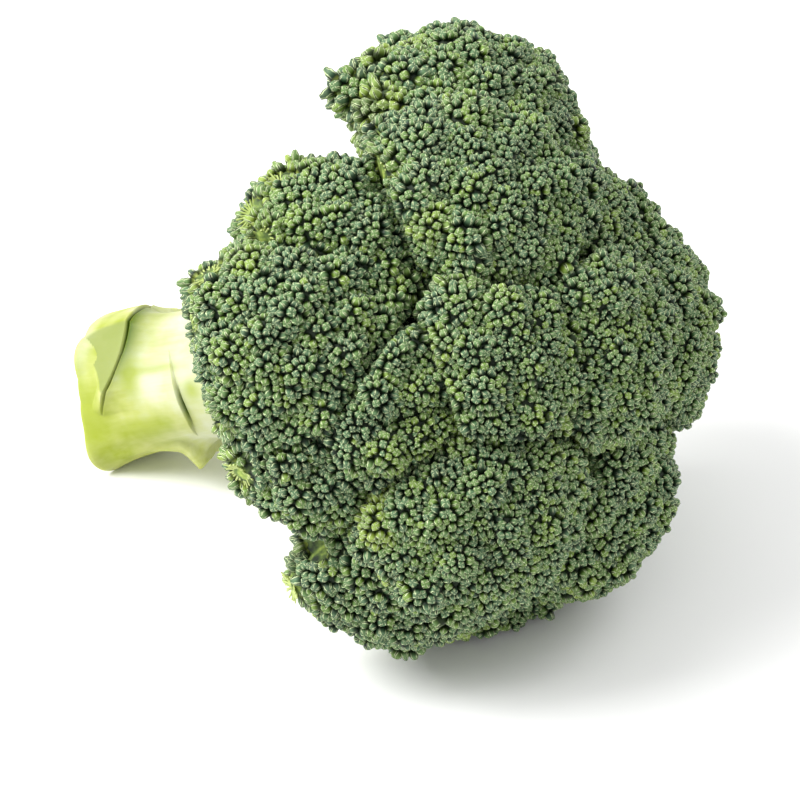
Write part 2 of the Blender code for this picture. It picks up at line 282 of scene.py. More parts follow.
def spiral(crown, spacing, last_angle):
    """Evenly spread directions on a golden-angle spiral from the crown's top, in the crown's own axes."""
    whole = 4 * math.pi * crown.typical**2 / (HEX_PACKING * spacing**2)
    count = int(whole * (1 - math.cos(last_angle)) / 2)
    index = np.arange(count) + 0.5
    return spherical(np.arccos(1 - 2 * index / whole), index * GOLDEN_ANGLE)


def tree_of(points):
    tree = KDTree(len(points))
    for number, point in enumerate(points):
        tree.insert(point, number)
    tree.balance()
    return tree


class Mounds:
    """The low mounds that the buds of a crown gather in, with smaller tufts on them."""

    def __init__(self, crown, draw):
        self.centres, self.tree, self.radius = self.level(crown, draw, MOUND_SPACING)
        self.tufts, self.tuft_tree, self.tuft_radius = self.level(crown, draw, TUFT_SPACING)
        self.raised = draw.uniform(*MOUND_RANGE, len(self.centres))
        self.tuft_raised = draw.uniform(*TUFT_RANGE, len(self.tufts))
        self.tone = draw.normal(0, 1, len(self.centres))

    @staticmethod
    def level(crown, draw, spacing):
        centres = spiral(crown, spacing, LAST_MOUND_ANGLE)
        centres = unit(centres + draw.normal(0, MOUND_JITTER * spacing / crown.typical, centres.shape))
        return centres, tree_of(centres), MOUND_RADIUS * spacing / crown.typical

    @staticmethod
    def closest(tree, radius, local):
        found = [tree.find(direction) for direction in local]
        number = np.array([item[1] for item in found])
        away = np.array([item[2] for item in found])
        return number, np.clip(away / radius, 0, MOUND_REACH)

    def nearest(self, local):
        return self.closest(self.tree, self.radius, local)

    def bump(self, local):
        number, away = self.nearest(local)
        tuft, aside = self.closest(self.tuft_tree, self.tuft_radius, local)
        mound = MOUND_HEIGHT * self.raised[number] * (1 - away**2)
        return mound + TUFT_HEIGHT * self.tuft_raised[tuft] * (1 - aside**2)


def mounded_surface(crown, mounds, local):
    return crown.surface(local, mounds.bump(local))


def mound_normals(crown, mounds, local):
    """Outward normals of the mounded surface, by differences between close directions."""
    side = unit(np.cross(local, np.where(np.abs(local[:, 2:]) < NEAR_POLE, [[0, 0, 1.0]], [[1.0, 0, 0]])))
    other = np.cross(local, side)

    def slope(step):
        ahead, behind = unit(local + step * NORMAL_STEP), unit(local - step * NORMAL_STEP)
        return mounded_surface(crown, mounds, ahead) - mounded_surface(crown, mounds, behind)

    normals = unit(np.cross(slope(side), slope(other)))
    facing = np.sign((normals * crown.world(local)).sum(1, keepdims=True))
    return normals * np.where(facing == 0, 1, facing)


class Buds:
    """Where a crown's buds stand, which way they face, and each one's size, kind and tone."""

    def __init__(self, crown, mounds, draw):
        self.crown, self.mounds = crown, mounds
        local, scale = self.spread(draw)
        number, away = mounds.nearest(local)
        places = mounded_surface(crown, mounds, local)
        normals = mound_normals(crown, mounds, local)
        width = np.clip(self.room(places, scale) * BUD_FULLNESS, *BUD_WIDTHS)
        angle = np.arccos(np.clip(local[:, 2], -1, 1))
        rim = rim_share(angle)
        fan_out, fan_share = self.fans(places, draw)
        outward = crown.world(local) - crown.world(mounds.centres[number])
        outward /= np.maximum(np.linalg.norm(outward, axis=1, keepdims=True), LEAST_LENGTH)
        lean = BUD_LEAN * np.clip(away, 0, 1)[:, None]
        lean = lean * (1 - fan_share) + FAN_LEAN * fan_share
        outward = np.where(fan_share > 0, fan_out, outward)
        fan_share = fan_share[:, 0]
        self.facing = unit(normals + outward * lean + draw.normal(0, FACING_SPREAD, places.shape))
        self.size = self.sizes(width, draw)
        sink = SINK * width + draw.normal(SINK_MIDDLE, SINK_SPREAD, len(places))
        self.places = places - normals * sink[:, None]
        tone = MIDDLE_TONE + MOUND_TONE * mounds.tone[number] + draw.normal(0, TONE_SPREAD, len(places))
        self.tone = np.clip(tone, 0, 1)
        self.spin = draw.uniform(0, 2 * math.pi, len(places))
        self.kind = np.where(rim > draw.uniform(*STALKED_RANGE, len(places)), STALKED, FULL)
        self.kind[width < SMALL_BUD_WIDTH] = SMALL
        in_fan = fan_share > FAN_STALKED
        self.kind[in_fan] = STALKED
        self.places += (self.facing - normals) * (FAN_SHIFT * width[:, None]) * in_fan[:, None]
        dark = rim * draw.random(len(places)) > DARK_RIM
        self.tone = np.where(dark, DARK_TONE * self.tone, self.tone)
        self.lime = self.limes(angle, mounds.tone[number], fan_share, draw)
        kept = self.lowest(width) > BUD_LOWEST
        kept &= fan_share < FAN_FULL
        kept &= crown.open_share(local) > DEEPEST_CREASE
        for key in BUD_MARKS:
            setattr(self, key, getattr(self, key)[kept])
        self.places = self.places[kept]

    def spread(self, draw):
        """Evened-out directions for the buds, and each one's share of the usual size."""
        local = spiral(self.crown, self.crown.bud_spacing, LAST_BUD_ANGLE)
        jitter = BUD_JITTER * self.crown.bud_spacing / self.crown.typical
        local = unit(local + draw.normal(0, jitter, local.shape))
        local = local[self.crown.open_share(local) > DEEPEST_CREASE]
        _, away = self.mounds.nearest(local)
        scale = MIDDLE_SIZE + (EDGE_SIZE - MIDDLE_SIZE) * np.clip(away, 0, 1)
        scale = scale + draw.normal(0, SIZE_SPREAD, len(local))
        scale *= np.where(draw.random(len(local)) < BIG_BUD_SHARE, BIG_BUD_SIZE, 1)
        scale *= 1 + RIM_GROWTH * rim_share(np.arccos(local[:, 2]))
        for _ in range(EVENING_ROUNDS):
            local = self.evened(local, scale)
        return local, scale

    def evened(self, local, scale):
        """Moves each bud away from those that crowd it, so that they end up packed by their sizes."""
        crown = self.crown
        places = mounded_surface(crown, self.mounds, local)
        near = self.near(places, NEIGHBOURS)
        apart = places[:, None] - places[near]
        away = np.linalg.norm(apart, axis=2, keepdims=True)
        wanted = (crown.bud_spacing * (scale[:, None] + scale[near]) / 2)[:, :, None]
        push = apart / np.maximum(away, TINY) * np.clip(wanted * EVENING_REACH - away, -EVENING_PULL, None)
        moved = places + push.sum(1) * EVENING_STEP - crown.middle
        return unit(np.stack([moved @ crown.right, moved @ crown.ahead, moved @ crown.out], 1))

    def near(self, places, count):
        tree = tree_of(places)
        return np.array([[item[1] for item in tree.find_n(place, count + 1)[1:]] for place in places])

    def room(self, places, scale):
        """The width that fits each bud between its closest neighbours."""
        near = self.near(places, CLOSEST)
        away = np.linalg.norm(places[:, None] - places[near], axis=2)
        return (away * 2 * scale[:, None] / (scale[:, None] + scale[near])).mean(1)

    def sizes(self, width, draw):
        flat = draw.normal(1, FLATNESS, len(width))
        tall = draw.uniform(*TALLNESS, len(width))
        return np.stack([width * flat, width / flat, width * tall], axis=1)

    def limes(self, angle, mound_tone, fan_share, draw):
        """How lime each bud is: in the fans, and on some mounds towards the crown's rim."""
        in_fans = np.clip(fan_share * draw.uniform(*FAN_LIME, len(angle)), 0, 1)
        outer = np.clip((angle - LIME_START) / (LIME_FULL - LIME_START), 0, 1)
        patch = outer * np.clip(mound_tone - LIME_MOUNDS, 0, 1) * (LIME_TONE + self.tone)
        return np.maximum(in_fans, np.clip(patch, 0, 1))

    def lowest(self, width):
        """The height above the floor of each bud's lowest point."""
        base = np.where(self.kind == STALKED, PEDICEL, 0)
        end = np.minimum(base * self.facing[:, 2], BUD_TALL * self.facing[:, 2]) * width
        return self.places[:, 2] + np.minimum(end, 0) - 0.5 * width * np.hypot(*self.facing[:, :2].T)

    def fans(self, places, draw):
        """Which way each bud leans away from the nearest open fan, and how strongly, up to FAN_FULL."""
        named = OPEN_FANS.get(self.crown.name, ())
        angles = [angle for angle, _ in named] + list(draw.uniform(*FAN_ANGLES, FANS_PER_CROWN))
        turns = [turn for _, turn in named] + list(draw.uniform(-180, 180, FANS_PER_CROWN))
        local = spherical(np.radians(angles), np.radians(turns))
        hearts = mounded_surface(self.crown, self.mounds, local)
        self.hearts, self.heart_local = hearts, local
        apart = places[:, None] - hearts
        away = np.linalg.norm(apart, axis=2)
        closest = away.argmin(1)
        apart, away = apart[np.arange(len(places)), closest], away.min(1)
        share = np.where(away < FAN_REACH, 1 - (away / FAN_REACH) ** 3, 0)
        share = np.where(away < FAN_HEART, FAN_FULL, share)
        return unit(apart + TINY), share[:, None]

    def add_fan_stems(self, lines, draw):
        """Stems that spread from the heart of each open fan to the buds round it."""
        normals = mound_normals(self.crown, self.mounds, self.heart_local)
        shown = self.crown.open_share(self.heart_local) > FAN_SHOWN
        for heart, normal in zip(self.hearts[shown], normals[shown]):
            if heart[2] < FAN_REACH:
                continue
            side = unit(np.cross(normal, AXIS))
            other = np.cross(normal, side)
            for number in range(FAN_STEMS):
                place = number + draw.uniform(-FAN_STEM_JITTER, FAN_STEM_JITTER)
                turn = 2 * math.pi * place / FAN_STEMS
                reach = draw.uniform(*FAN_STEM_REACH)
                away = side * math.cos(turn) + other * math.sin(turn)
                root = heart - normal * FAN_DEPTH + away * FAN_STEM_START
                end = heart + away * reach - normal * draw.uniform(*FAN_STEM_DROP)
                middle = (root + end) / 2 + away * FAN_STEM_BEND * reach
                width = FAN_STEM_RADIUS * draw.uniform(*FAN_STEM_RANGE)
                lines.add(smooth_line([root, middle, end], FAN_STEM_POINTS), width * FAN_STEM_TAPER)


# Meshes

def placed(name, data):
    obj = bpy.data.objects.new(name, data)
    bpy.context.scene.collection.objects.link(obj)
    return obj


def plain_mesh(name, points, edges, faces, smooth=True):
    """A mesh in metres, from points in millimetres."""
    mesh = bpy.data.meshes.new(name)
    mesh.from_pydata([tuple(p) for p in np.asarray(points) * METRES], edges, faces)
    mesh.polygons.foreach_set("use_smooth", [smooth] * len(mesh.polygons))
    return mesh


def mesh_object(name, points, faces, material, smooth=True):
    mesh = plain_mesh(name, points, [], faces, smooth)
    mesh.materials.append(material)
    return placed(name, mesh)


def store(mesh, name, kind, values):
    attribute = mesh.attributes.new(name, kind, "POINT")
    key = "vector" if kind == "FLOAT_VECTOR" else "value"
    numbers = np.int32 if kind == "INT" else np.float32
    attribute.data.foreach_set(key, np.asarray(values, numbers).ravel())


def lathe_faces(rings, sides):
    """Faces of a closed stack of rings, with one fan point below the first ring and one above the last."""
    faces = []
    low, high = rings * sides, rings * sides + 1
    for side in range(sides):
        beside = (side + 1) % sides
        faces.append((low, beside, side))
        for ring in range(rings - 1):
            a, b = ring * sides, (ring + 1) * sides
            faces.append((a + side, a + beside, b + beside, b + side))
        top = (rings - 1) * sides
        faces.append((top + side, top + beside, high))
    return faces


def bud_mesh(name, sides, sepals, rings, tip):
    """A closed bud one unit wide, whose base sits at z = 0. A ring below that belongs to its pedicel.

    Each ring is a height, a radius, how deep the grooves between the sepals are and how far it twists.
    """
    points = []
    for height, radius, depth, twist in rings:
        for side in range(sides):
            turn = 2 * math.pi * side / sides
            width = radius * (1 - depth * (0.5 - 0.5 * math.cos(sepals * turn)))
            turn += twist
            points.append((width * math.cos(turn), width * math.sin(turn), height))
    points += [(0, 0, rings[0][0]), (0, 0, tip)]
    mesh = plain_mesh(name, points, [], lathe_faces(len(rings), sides))
    store(mesh, "stem", "FLOAT", [height < 0 for _, _, height in points])
    store(mesh, "sepal_count", "FLOAT", [sepals] * len(points))
    store_turns(mesh, points, sides)
    return bpy.data.objects.new(name, mesh)


def store_turns(mesh, points, sides):
    """A UV map of the turn round a bud and the height on it, with its seam and its two end points closed."""
    uv = mesh.uv_layers.new(name="sepals")
    ends = len(points) - 2
    for polygon in mesh.polygons:
        turns = {vertex: (vertex % sides) / sides for vertex in polygon.vertices if vertex < ends}
        if max(turns.values()) - min(turns.values()) > 0.5:
            turns = {vertex: turn + 1 if turn < 0.5 else turn for vertex, turn in turns.items()}
        middle = sum(turns.values()) / len(turns)
        for corner, vertex in zip(polygon.loop_indices, polygon.vertices):
            uv.data[corner].uv = (turns.get(vertex, middle), points[vertex][2])


def bud_shapes():
    """The bud shapes to place: a small tight one, a full one, and a longer one on its pedicel."""
    small = bud_mesh("bud_0_small", 6, 3, (
        (0.0, 0.34, 0, 0), (0.45, 0.52, 0.08, 0), (0.84, 0.43, 0.25, 0.2)), 0.80)
    full = bud_mesh("bud_1_full", 8, 4, (
        (0.0, 0.34, 0, 0), (0.42, 0.53, 0.08, 0), (0.78, 0.48, 0.16, 0.2), (0.96, 0.28, 0.35, 0.4)), 0.78)
    longer = bud_mesh("bud_2_stalked", 8, 4, (
        (PEDICEL, 0.13, 0, 0), (-0.1, 0.17, 0, 0), (0.45, 0.45, 0.10, 0), (0.95, 0.43, 0.18, 0.1),
        (1.32, 0.20, 0.4, 0.3)), 1.16)
    gathered = bpy.data.collections.new("bud shapes")
    for obj in (small, full, longer):
        gathered.objects.link(obj)
    return gathered


# Node trees

class Nodes:
    """Helps to build a node tree. A node's input takes a value, or the output that is linked to it."""

    def __init__(self, tree):
        self.tree = tree

    def feed(self, socket, value):
        if isinstance(value, bpy.types.NodeSocket):
            self.tree.links.new(value, socket)
        else:
            socket.default_value = value

    def node(self, kind, inputs=None, **settings):
        made = self.tree.nodes.new(kind)
        for key, value in settings.items():
            setattr(made, key, value)
        for key, value in (inputs or {}).items():
            self.feed(made.inputs[key], value)
        return made


class Growth(Nodes):
    """A geometry node tree with named inputs, each with its kind and its usual value."""

    def __init__(self, name, **inputs):
        super().__init__(bpy.data.node_groups.new(name, "GeometryNodeTree"))
        self.tree.interface.new_socket("Geometry", in_out="OUTPUT", socket_type="NodeSocketGeometry")
        self.tree.interface.new_socket("Geometry", in_out="INPUT", socket_type="NodeSocketGeometry")
        self.inputs = {}
        for key, (kind, value) in inputs.items():
            label = key.replace("_", " ")
            socket = self.tree.interface.new_socket(label, in_out="INPUT", socket_type="NodeSocket" + kind)
            if value is not None:
                socket.default_value = value
            self.inputs[label] = socket.identifier
        self.start = self.node("NodeGroupInput").outputs

    def named(self, kind, name):
        """The output of a named attribute of that kind."""
        made = self.node("GeometryNodeInputNamedAttribute", {"Name": name}, data_type=kind)
        return next(socket for socket in made.outputs if socket.enabled and socket.name == "Attribute")

    def end(self, geometry, finish):
        """Closes the tree: real geometry, with its material."""
        real = self.node("GeometryNodeRealizeInstances", {"Geometry": geometry})
        done = self.node("GeometryNodeSetMaterial", {
            "Geometry": real.outputs["Geometry"], "Material": finish})
        self.node("NodeGroupOutput", {"Geometry": done.outputs["Geometry"]})
        return self


def bud_planting_tree():
    """Sets a bud shape on each point, turned to the point's facing, and makes one mesh of them all."""
    tree = Growth("plant buds", Bud_Shapes=("Collection", None), Bud_Scale=("Float", 1.0),
                  Bud_Finish=("Material", None))
    shapes = tree.node("GeometryNodeCollectionInfo", {
        "Collection": tree.start["Bud Shapes"], "Separate Children": True, "Reset Children": True},
        transform_space="ORIGINAL")
    turned = tree.node("FunctionNodeAlignRotationToVector", {"Vector": tree.named("FLOAT_VECTOR", "facing")},
                       axis="Z")
    around = tree.node("FunctionNodeAxisAngleToRotation", {
        "Axis": (0, 0, 1), "Angle": tree.named("FLOAT", "spin")})
    spun = tree.node("FunctionNodeRotateRotation", {
        "Rotation": turned.outputs["Rotation"], "Rotate By": around.outputs["Rotation"]},
        rotation_space="LOCAL")
    scaled = tree.node("ShaderNodeVectorMath", {
        "Vector": tree.named("FLOAT_VECTOR", "size"), "Scale": tree.start["Bud Scale"]}, operation="SCALE")
    place = tree.node("GeometryNodeInstanceOnPoints", {
        "Points": tree.start["Geometry"], "Instance": shapes.outputs["Instances"], "Pick Instance": True,
        "Instance Index": tree.named("INT", "kind"), "Rotation": spun.outputs["Rotation"],
        "Scale": scaled.outputs["Vector"]})
    return tree.end(place.outputs["Instances"], tree.start["Bud Finish"])


def tube_tree():
    """Sweeps a round section along each line of edges, as thick as the line's points say."""
    tree = Growth("sweep stems", Sides=("Int", STEM_SIDES), Stem_Finish=("Material", None))
    curve = tree.node("GeometryNodeMeshToCurve", {"Mesh": tree.start["Geometry"]})
    section = tree.node("GeometryNodeCurvePrimitiveCircle", {
        "Resolution": tree.start["Sides"], "Radius": METRES})
    sweep = tree.node("GeometryNodeCurveToMesh", {
        "Curve": curve.outputs["Curve"], "Profile Curve": section.outputs["Curve"],
        "Scale": tree.named("FLOAT", "thickness"), "Fill Caps": True})
    smooth = tree.node("GeometryNodeSetShadeSmooth", {"Geometry": sweep.outputs["Mesh"]})
    return tree.end(smooth.outputs["Geometry"], tree.start["Stem Finish"])


def made_plain(obj):
    """The object with what its modifiers make as its plain mesh, and without the modifiers."""
    graph = bpy.context.evaluated_depsgraph_get()
    plain = bpy.data.meshes.new_from_object(obj.evaluated_get(graph), depsgraph=graph)
    obj.modifiers.clear()
    old, obj.data = obj.data, plain
    bpy.data.meshes.remove(old)
    return obj


def grown(obj, growth, values):
    """The object as the geometry node tree makes it from its mesh."""
    modifier = obj.modifiers.new(growth.tree.name, "NODES")
    modifier.node_group = growth.tree
    for name, value in values.items():
        modifier[growth.inputs[name]] = value
    return made_plain(obj)


def fused(obj, grain, rounds):
    """The object's shapes melted into one skin, with soft joins."""
    finish = obj.data.materials[0]
    melt = obj.modifiers.new("melt", "REMESH")
    melt.mode = "VOXEL"
    melt.voxel_size = grain
    melt.use_smooth_shade = True
    relax = obj.modifiers.new("relax", "SMOOTH")
    relax.iterations = rounds
    made_plain(obj)
    obj.data.materials.clear()
    obj.data.materials.append(finish)
    return obj


# Crown pieces

def bed_mesh(crown, mounds, hearts):
    """Points and faces of the ground that the buds stand in, and how near a rim or a fan each point is."""
    angles = np.linspace(BED_START, math.pi - BED_END, BED_RINGS)
    turns = np.arange(BED_SIDES) * 2 * math.pi / BED_SIDES
    local = np.concatenate([spherical(angle, turns) for angle in angles[::-1]])
    local = np.vstack([local, [[0, 0, -1.0]], [[0, 0, 1.0]]])
    angle = np.arccos(np.clip(local[:, 2], -1, 1))
    under = np.clip((angle - BED_FADE_START) / BED_FADE, 0, 1)
    points = crown.surface(local, mounds.bump(local) * (1 - under) - BED_SUNK)
    away = np.linalg.norm(points[:, None] - hearts, axis=2).min(1)
    rim = np.maximum(rim_share(angle), BED_FAN_RIM - away / FAN_REACH)
    points[:, 2] = np.maximum(points[:, 2], BED_LOWEST)
    return points, lathe_faces(BED_RINGS, BED_SIDES), rim


def dress_crown(crown, number, trees, finishes, lines):
    """The crown's buds and its bed, which stand for the CAD crown. Its fans' stems are added to the lines."""
    draw = np.random.default_rng(CROWN_SEED + number)
    mounds = Mounds(crown, draw)
    buds = Buds(crown, mounds, draw)
    points = mesh_object(crown.name + "_buds", buds.places, [], finishes["bud"])
    for key, kind in BUD_MARKS.items():
        store(points.data, key, kind, getattr(buds, key))
    grown(points, trees["buds"], {"Bud Shapes": trees["bud shapes"], "Bud Scale": 1.0,
                                  "Bud Finish": finishes["bud"]})
    buds.add_fan_stems(lines, draw)
    bed_points, bed_faces, rim = bed_mesh(crown, mounds, buds.hearts)
    bed = mesh_object(crown.name + "_bed", bed_points, bed_faces, finishes["bed"])
    store(bed.data, "rim", "FLOAT", rim)
    return points, bed


# Materials

class Finish(Nodes):
    """Helps to build a node material."""

    def __init__(self, name):
        self.material = bpy.data.materials.new(name)
        self.material.use_nodes = True
        super().__init__(self.material.node_tree)
        self.shader = self.tree.nodes["Principled BSDF"]

    def attribute(self, name):
        return self.node("ShaderNodeAttribute", attribute_name=name).outputs["Fac"]

    def math(self, operation, first, second=0.0, third=0.0, clamp=False):
        made = self.node("ShaderNodeMath", operation=operation, use_clamp=clamp)
        for socket, value in zip(made.inputs, (first, second, third)):
            self.feed(socket, value)
        return made.outputs["Value"]

    def times(self, first, second, clamp=False):
        return self.math("MULTIPLY", first, second, clamp=clamp)

    def ramp(self, value, *stops):
        """A colour ramp. Each stop is a place and a colour or a grey."""
        made = self.node("ShaderNodeValToRGB", {"Fac": value})
        elements = made.color_ramp.elements
        while len(elements) < len(stops):
            elements.new(0.5)
        for element, (place, colour) in zip(elements, stops):
            element.position = place
            element.color = (*colour, 1) if isinstance(colour, tuple) else (colour, colour, colour, 1)
        return made.outputs["Color"]

    def mix(self, share, first, second):
        made = self.node("ShaderNodeMix", data_type="RGBA")
        for number, value in ((0, share), (6, first), (7, second)):
            self.feed(made.inputs[number], (*value, 1) if isinstance(value, tuple) else value)
        return made.outputs[2]

    def noise(self, scale, detail=3.0, roughness=0.5, vector=None):
        if vector is None:
            vector = self.node("ShaderNodeTexCoord").outputs["Object"]
        inputs = {"Scale": scale, "Detail": detail, "Roughness": roughness, "Vector": vector}
        return self.node("ShaderNodeTexNoise", inputs).outputs["Fac"]

    def bump(self, height, strength, distance):
        made = self.node("ShaderNodeBump", {"Height": height, "Strength": strength, "Distance": distance})
        self.feed(self.shader.inputs["Normal"], made.outputs["Normal"])

    def set(self, **values):
        for key, value in values.items():
            self.feed(self.shader.inputs[key.replace("_", " ")], value)
        return self.material


# How fine each noise is, how far streaks are drawn out, how deep relief is in metres, and how much skins shine
FLOOR_NOISE, PATCH_NOISE, CLOUD_NOISE = 2.0, 60.0, 70.0
WAX_NOISE, STREAK_NOISE, GRAIN_NOISE = 200.0, 420.0, 700.0
STREAK_STRETCH = 0.10
SEPAL_RELIEF, SKIN_RELIEF = 0.0002, 0.0006
SHINE = 0.22

BLUE_GREEN = (0.048, 0.124, 0.053)
DEEP_GREEN = (0.014, 0.042, 0.020)
LEAF_GREEN = (0.105, 0.20, 0.014)
RIPE_GREEN = (0.20, 0.31, 0.02)
LIME = (0.28, 0.38, 0.03)
# Sepal edges: their own pale margins, partly painted highlight
CREAM_AND_HIGHLIGHT = (0.84, 0.97, 0.54)
# Pale bloom on the bud tips: partly wax, partly painted highlight
BLOOM_AND_HIGHLIGHT = (0.30, 0.42, 0.24)
# Painted shade, for the gaps between sepals and the feet of the buds
PAINTED_SHADE = (0.003, 0.008, 0.003)
# The bed: near black painted shade between the buds, then green, then lime where the pedicels show at a rim
BED_SHADE_AND_COLOURS = (0.012, 0.024, 0.009), (0.10, 0.16, 0.03), (0.34, 0.45, 0.08)
STEM_LIME = (0.42, 0.52, 0.10)
STEM_COLOURS = (0.31, 0.41, 0.08), (0.43, 0.51, 0.16), (0.52, 0.58, 0.27)
STALK_GREEN = (0.27, 0.33, 0.016)
STALK_MIDDLE = (0.43, 0.46, 0.14)
STALK_PALE = (0.57, 0.59, 0.44)
CUT_GREEN = (0.22, 0.265, 0.075)
# Painted shade on the stalk, past the stub and in the crease beside it
PAINTED_SHADE_GREEN = (0.06, 0.11, 0.004)


def bud_finish():
    """Closed buds: blue-green sepals, pale edges partly painted highlight, painted shade in gaps and at feet.
    """
    made = Finish("bud skin")
    tone, lime = made.attribute("tone"), made.attribute("lime")
    around = made.node("ShaderNodeUVMap", uv_map="sepals").outputs["UV"]
    turn, height, _ = made.node("ShaderNodeSeparateXYZ", {"Vector": around}).outputs
    patch, grain = made.noise(PATCH_NOISE), made.noise(GRAIN_NOISE, 3.0, 0.6)
    mixed = made.math("MULTIPLY_ADD", patch, 0.5, made.times(tone, 0.75))
    skin = made.ramp(mixed, (0.26, DEEP_GREEN), (0.52, BLUE_GREEN), (0.80, LEAF_GREEN), (1.0, RIPE_GREEN))
    skin = made.mix(lime, skin, LIME)
    wobble = made.math("MULTIPLY_ADD", grain, 0.5, made.times(height, 0.3))
    sepal = made.math("FRACT", made.math("MULTIPLY_ADD", turn, made.attribute("sepal_count"), wobble))
    edge = made.ramp(sepal, (0.28, 0.0), (0.37, 1.0), (0.43, 1.0), (0.45, 0.0), (0.55, 0.0), (0.57, 1.0),
                     (0.63, 1.0), (0.72, 0.0))
    # Painted shade in the gaps between sepals
    gap_shade = made.ramp(sepal, (0.42, 0.0), (0.46, 1.0), (0.54, 1.0), (0.58, 0.0))
    upper = made.ramp(height, (0.34, 0.0), (0.6, 1.0))
    # Bloom on each bud's tip: partly wax, partly painted highlight
    bloom_and_highlight = made.ramp(height, (0.55, 0.0), (0.85, 1.0))
    skin = made.mix(made.times(bloom_and_highlight, 0.24), skin, BLOOM_AND_HIGHLIGHT)
    # Pale sepal edges on the upper part of each bud: partly real margins, partly painted highlight
    skin = made.mix(made.times(made.times(edge, upper), 0.85), skin, CREAM_AND_HIGHLIGHT)
    skin = made.mix(made.times(made.times(gap_shade, upper), 0.9), skin, PAINTED_SHADE)
    # Painted shade at each bud's foot, where the buds crowd
    bud_foot_shade = made.ramp(height, (0.42, 1.0), (0.84, 0.0))
    skin = made.mix(made.times(bud_foot_shade, 0.9), skin, PAINTED_SHADE)
    skin = made.mix(made.attribute("stem"), skin, STEM_LIME)
    rough = made.math("MULTIPLY_ADD", patch, 0.2, 0.32)
    made.bump(made.math("SUBTRACT", edge, gap_shade), 0.7, SEPAL_RELIEF)
    return made.set(Base_Color=skin, Roughness=rough, Specular_IOR_Level=SHINE)


def bed_finish():
    """The ground between the buds: near black painted shade on the crown, lime at its rim, where the pedicels
    show.
    """
    made = Finish("bud bed")
    fine = made.noise(STREAK_NOISE, 4.0)
    share = made.math("MULTIPLY_ADD", made.math("SUBTRACT", fine, 0.5), 1.7, made.attribute("rim"))
    made.bump(fine, 0.6, SKIN_RELIEF)
    return made.set(Base_Color=made.ramp(share, *zip((0.25, 0.6, 0.95), BED_SHADE_AND_COLOURS)), Roughness=0.75)


def stalk_finish():
    """Waxy yellow-green stalk: whitish in places, one a painted highlight, painted shade past the stub,
    streaks along it, a smooth flat cut.
    """
    made = Finish("stalk skin")
    cut, pale, green, shade, along = (
        made.attribute(name) for name in ("cut", "pale", "green", "shade", "along"))
    place = made.node("ShaderNodeTexCoord").outputs["Object"]
    turned = made.node("ShaderNodeMapping", {
        "Vector": place, "Rotation": (0, STALK_PITCH, 0)}).outputs["Vector"]
    drawn = made.node("ShaderNodeMapping", {
        "Vector": turned, "Scale": (STREAK_STRETCH, 1, 1)}).outputs["Vector"]
    streak = made.noise(STREAK_NOISE, 4.0, 0.65, drawn)
    cloud = made.noise(CLOUD_NOISE, 3.0, 0.55, turned)
    tone = made.math("MULTIPLY_ADD", along, 0.35, made.times(cloud, 0.9))
    tone = made.math("MULTIPLY_ADD", streak, 0.25, tone)
    skin = made.ramp(tone, (0.45, STALK_GREEN), (0.65, STALK_MIDDLE), (0.92, STALK_PALE))
    # Whitish wax, and at one patch a painted highlight
    wax_and_highlight = made.times(pale, made.math("MULTIPLY_ADD", streak, 0.8, 0.35), clamp=True)
    skin = made.mix(wax_and_highlight, skin, STALK_PALE)
    ripe = made.times(green, made.math("MULTIPLY_ADD", cloud, 0.8, 0.3), clamp=True)
    skin = made.mix(ripe, skin, STALK_GREEN)
    # Painted shade past the stub's axil and in the crease beside it
    skin = made.mix(shade, skin, PAINTED_SHADE_GREEN)
    skin = made.mix(made.times(cut, 0.85), skin, CUT_GREEN)
    waxy = made.noise(WAX_NOISE, 2.0, 0.5, turned)
    made.bump(made.math("MULTIPLY_ADD", streak, 0.5, made.times(waxy, 0.5)), 0.35, SKIN_RELIEF)
    rough = made.math("MULTIPLY_ADD", streak, 0.25, 0.42)
    return made.set(Base_Color=skin, Roughness=rough, Specular_IOR_Level=SHINE, Subsurface_Weight=0.2,
                    Subsurface_Radius=(1.0, 0.9, 0.3), Subsurface_Scale=0.003)


def stem_finish():
    """Branches, twigs and pedicels: smooth lime green."""
    made = Finish("stem skin")
    skin = made.ramp(made.noise(PATCH_NOISE), *zip((0.3, 0.6, 0.8), STEM_COLOURS))
    return made.set(Base_Color=skin, Roughness=0.45)


def floor_finish():
    made = Finish("white floor")
    return made.set(Base_Color=made.ramp(made.noise(FLOOR_NOISE), (0.0, 0.93), (1.0, 0.95)), Roughness=0.9)


# Stalk

# Leaf bases: angle round the stalk, place of the axil along it, half width, length, height, and how far the
# axil's ends droop. Then the width of an axil, and how a base falls off to its sides and along its length
LEAF_BASES = (
    (84, -29, 46, 22, 1.3, 4),
    (162, -36, 30, 13, 3.6, 5),
    (238, -30, 46, 24, 3.4, 7),
    (292, -46, 46, 18, 4.2, 6),
    (336, -25, 40, 22, 2.6, 6),
)
AXIL_WIDTH = 0.5
BASE_ROUNDING, BASE_FADING = 0.7, 0.8

# The big leaf stub: its middle round the stalk and half width, its height, its axil, which droops sideways,
# and how much lower the stalk goes on past it
STUB_MIDDLE, STUB_HALF, STUB_HEIGHT = 22, 66, 4.4
STUB_AXIL, STUB_DROOP, STUB_STEP = -48.8, 10.0, 0.45

# How far down the stalk the stub takes to fade, which shortens round it from the place where it is longest
STUB_FADE, STUB_FADING, STUB_LENGTH, STUB_LENGTHS = 0.85, 1.3, 28.6, (5.0, 40.0)
STUB_LONGEST_AT, STUB_SHORTENING = 18, 26

# The flat cut where the stub's leaf was taken off: the way it faces, its height above the axis, and its slope
CUT_MIDDLE, CUT_HEIGHT, CUT_SLOPE = 45, 19.2, 0.05
LEAST_CUT, CUT_EDGE, LEAST_LEAN = 0.1, 0.3, 0.2

